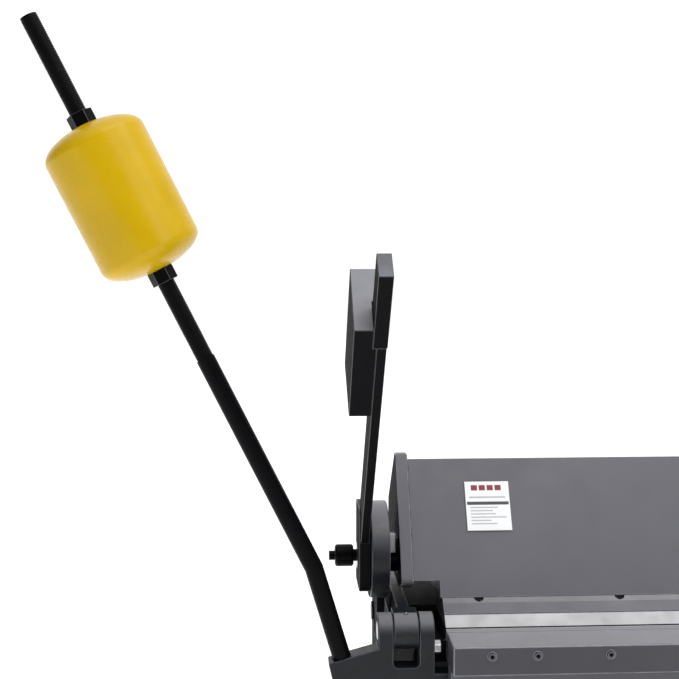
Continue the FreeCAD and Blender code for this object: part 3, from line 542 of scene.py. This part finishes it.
# in the loop below, side faces take painted shade: a dull casting finish, or a dull near-black one on the end
# plates and lever parts
for side in SIDES:
    # knuckle tops and link rims take a painted highlight
    softened(f"side_frame_{side}", BIG, "grey_casting",
             repaint=[("casting_painted_shade", sideways), ("casting_painted_highlight", on_knuckle)])
    softened(f"foot_{side}", BIG, "grey_casting")
    softened(f"hinge_fork_{side}", BIG, "grey_casting",
             repaint=[("casting_painted_shade", sideways), ("casting_painted_highlight", on_knuckle)])
    softened(f"end_plate_{side}", BIG, repaint=[("black_painted_shade", sideways)])
    softened(f"clamp_link_{side}", BIG, "grey_casting",
             repaint=[("casting_painted_shade", sideways), ("casting_painted_highlight", on_link_rim)])
    softened(f"lever_bar_{side}", FINE, repaint=[("black_painted_shade", sideways)])
    # upper faces of the lever head and weight are lighter: painted light
    softened(f"lever_head_{side}", FINE, repaint=[("painted_light_top", upward(0.7)), ("black_painted_shade", sideways)])
    softened(f"lever_weight_{side}", FINE, repaint=[("painted_light_slope", upward(0.3)), ("black_painted_shade", sideways)])
    softened(f"lever_hub_{side}", FINE, repaint=[("black_painted_shade", sideways)])
    softened(f"counterweight_nuts_{side}", FINE, "black_steel")
    softened(f"handle_bar_{side}", FINE)
    softened(f"link_pins_{side}", TINY)
    softened(f"fork_lock_screw_{side}", FINE)
    softened(f"hinge_pin_{side}", FINE)
    softened(f"handle_grip_{side}", FINE)
    # bearing collars in dark steel as painted shade; the bright block in front of each stands for their lit
    # top
    softened(f"shaft_bearing_{side}", TINY, "black_steel")
    softened(f"shaft_knob_{side}", TINY)

for node in ("front_tie", "rear_tie", "apron_web", "clamp_base_plate", "clamp_back_plate"):
    softened(node, FINE)
# the edges of the bed beam and the side faces and ends of the blade are kept dark: painted shade
softened("bed_beam", FINE, repaint=[("dull_grey", upward(0.9))], edge_repaint=[("casting_painted_shade", anywhere)])
softened("bed_blade", FINE, repaint=[("black_painted_shade", sideways)], edge_repaint=[("black_painted_shade", on_blade_end)])
# the foot edge of the clamp plate and the lip edge of the apron take a lighter line: wear and a painted
# highlight
softened("clamp_front_plate", 1.5 * MM, edge_repaint=[("line_wear_and_highlight", on_plate_foot)])
softened("apron_bar", 2.0 * MM, "apron_paint_and_shade", repaint=[("worn_top", upward(0.9))],
         edge_repaint=[("line_wear_and_highlight", on_lip_edge)], steps=3)
softened("apron_edge_strip", 0.3 * MM, "worn_top")
# nose bar: machined bevel, a strip whose lighter top is wear and a painted highlight, and painted shade in
# the groove
softened("nose_bar", 0.5 * MM, "grey_paint",
         repaint=[("machined_steel", on_nose_bevel), ("strip_wear_and_highlight", on_strip_top)],
         edge_repaint=[("black_painted_shade", in_groove)], slices=[STRIP_CUT])
for node, steel in (("frame_bolts", "bolt_steel"), ("fork_bolts", "bolt_steel"),
                    ("lever_bolts", "black_steel"), ("nose_bolts", "black_steel")):
    softened(node, TINY, steel)
softened("apron_set_screws", 0.3 * MM, "grey_paint", repaint=[("socket_painted_shade", in_socket)])


# ---------------------------------------------------------------- threads and oil nipples

# oil nipple on the middle knuckle
NIPPLE = [(0, 0.0030), (0.0008, 0.0031), (0.0012, 0.0019), (0.0020, 0.0021), (0.0028, 0.0011)]

for side, sign in SIDES.items():
    thread(f"rod_thread_{side}", sign, "apron")
    top = (sign * (BOSS_MIDDLE - 0.001), -0.004, BEND_HEIGHT + KNUCKLE_RADIUS - 0.0006)
    lathe(f"oil_nipple_{side}", NIPPLE, top, (0, 0, 1), "frame", "bolt_steel", 20)


# ---------------------------------------------------------------- rating plate
# a pale sheet with four red squares, a grey rule, a dark band and six grey lines, with no lettering

LABEL_WIDTH, LABEL_HEIGHT = 0.067, 0.076
PRINT_DEPTHS = (-0.00005, 0.00006)
HEADING_SPANS = ((0.14, 0.28), (0.32, 0.46), (0.50, 0.64), (0.68, 0.82))
LINE_ENDS = (0.72, 0.60, 0.66, 0.90, 0.55, 0.68)
LINE_PITCH = 0.066
BOX_FACES = [(4, 5, 6, 7), (3, 2, 1, 0), (0, 1, 5, 4), (1, 2, 6, 5), (2, 3, 7, 6), (3, 0, 4, 7)]

low, high = (Vector(corner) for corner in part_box("rating_plate"))
label_up = Vector((0, math.cos(PLATE_SLOPE), math.sin(PLATE_SLOPE)))
label_out = Vector((0, -math.sin(PLATE_SLOPE), math.cos(PLATE_SLOPE)))
label_corner = Vector((low.x, low.y, high.z - LABEL_HEIGHT * math.sin(PLATE_SLOPE)))
softened("rating_plate", 0.3 * MM)


def label_bar(name, left, right, bottom, top, ink):
    """Printed bar on the rating plate, by shares of its width and height."""
    corners = []
    for lift in PRINT_DEPTHS:
        for across, up in ((left, bottom), (right, bottom), (right, top), (left, top)):
            level = label_corner + label_out * lift + Vector((across * LABEL_WIDTH, 0, 0))
            corners.append(tuple(level + label_up * (up * LABEL_HEIGHT)))
    mesh = bpy.data.meshes.new(name)
    mesh.from_pydata(corners, [], BOX_FACES)
    new_piece(name, mesh, "clamp_beam", [ink])


label_bar("label_band", 0.03, 0.97, 0.520, 0.585, "label_ink")
label_bar("label_subtitle", 0.08, 0.90, 0.660, 0.690, "label_grey")
for column, (start, end) in enumerate(HEADING_SPANS):
    label_bar(f"label_heading_{column}", start, end, 0.815, 0.925, "label_red")
for row, end in enumerate(LINE_ENDS):
    drop = row * LINE_PITCH
    label_bar(f"label_line_{row}", 0.10, end, 0.455 - drop, 0.478 - drop, "label_grey")


# ---------------------------------------------------------------- painted highlight blocks and screw rings

# bright steel block in front of each shaft bearing, a painted highlight that stands in for the lit top of the
# bearing collar
HIGHLIGHT_BLOCK_INNER, HIGHLIGHT_BLOCK_OUTER = 0.7375, 0.7465
HIGHLIGHT_BLOCK_FRONT, HIGHLIGHT_BLOCK_DEPTH = 0.0960, 0.012
HIGHLIGHT_BLOCK_LOW, HIGHLIGHT_BLOCK_HIGH = 0.9855, 1.0140

for side, sign in SIDES.items():
    first, last = sorted((sign * HIGHLIGHT_BLOCK_INNER, sign * HIGHLIGHT_BLOCK_OUTER))
    corners = [(x, HIGHLIGHT_BLOCK_FRONT, z) for x, z in ((first, HIGHLIGHT_BLOCK_LOW), (last, HIGHLIGHT_BLOCK_LOW),
                                               (last, HIGHLIGHT_BLOCK_HIGH), (first, HIGHLIGHT_BLOCK_HIGH))]
    block(f"collar_highlight_block_{side}", corners, (0, HIGHLIGHT_BLOCK_DEPTH, 0),
          "clamp_beam", "machined_steel", 0.8 * MM)

# raised ring round each set screw of the apron, in the lighter edge finish: wear and a painted highlight
SCREW_RING = [(0, 0.0050), (0.0, 0.0072), (0.0008, 0.0070), (0.0012, 0.0062), (0.0004, 0.0051)]

for index, x in enumerate(sorted({sign * x for x in SCREW_PLACES for sign in (-1, 1)})):
    lathe(f"set_screw_ring_{index}", SCREW_RING, (x, APRON_FRONT, BEND_HEIGHT - SCREW_DROP), (0, -1, 0),
          "apron", "grey_paint_edge", 28)


# ---------------------------------------------------------------- light, floor and background

def area(name, place, size, power):
    """Soft light aimed at the left half of the machine."""
    light = bpy.data.lights.new(name, "AREA")
    light.shape = "RECTANGLE"
    light.size, light.size_y = size
    light.energy = power
    item = bpy.data.objects.new(name, light)
    scene.collection.objects.link(item)
    item.location = place
    aim = Vector((-0.4, 0, 1.0)) - Vector(place)
    item.rotation_euler = aim.to_track_quat("-Z", "Y").to_euler()


# a sky that brightens upwards and to the right, with a white backdrop behind the machine
SKY_TOP = 1.45
SKY_LOW = 0.03
BACKDROP = 1.08

world = bpy.data.worlds.new("studio")
scene.world = world
world.use_nodes = True
tree = world.node_tree
sky = tree.nodes["Background"]
direction = add(tree, "ShaderNodeSeparateXYZ")
tree.links.new(tree.nodes.new("ShaderNodeTexCoord").outputs["Generated"], direction.inputs[0])
rise = ranged(tree, direction.outputs["Z"], 0.0, 1.0, 0.0, 1.0)
up = calc(tree, "ADD", calc(tree, "MULTIPLY", calc(tree, "MULTIPLY", rise, rise), SKY_TOP), SKY_LOW)
right = ranged(tree, direction.outputs["X"], -1.0, 1.0, 0.5, 1.5)
back = ranged(tree, direction.outputs["Y"], 0.35, 0.75, 0.0, 1.0)
soft = calc(tree, "MULTIPLY", up, right)
front = calc(tree, "MULTIPLY", soft, calc(tree, "SUBTRACT", 1.0, back))
level = calc(tree, "ADD", front, calc(tree, "MULTIPLY", back, BACKDROP))
tree.links.new(level, sky.inputs["Strength"])
sky.inputs["Color"].default_value = (1, 1, 1, 1)

area("softbox_top", (0.3, -0.9, 3.4), (2.6, 1.6), 32)
area("softbox_right", (1.6, -2.6, 2.6), (1.6, 1.6), 15)

bpy.ops.mesh.primitive_plane_add(size=30, location=(0, 0, 0))
floor = bpy.context.object
floor.name = "floor"
pale = surface("pale_floor", (0.88, 0.88, 0.88), 0.8, spread=0.01, patch=2, grain=60, bump=0.05)
pale_shader = pale.node_tree.nodes["Principled BSDF"]
pale_shader.inputs["Emission Color"].default_value = (1, 1, 1, 1)
pale_shader.inputs["Emission Strength"].default_value = 0.50
floor.data.materials.append(pale)
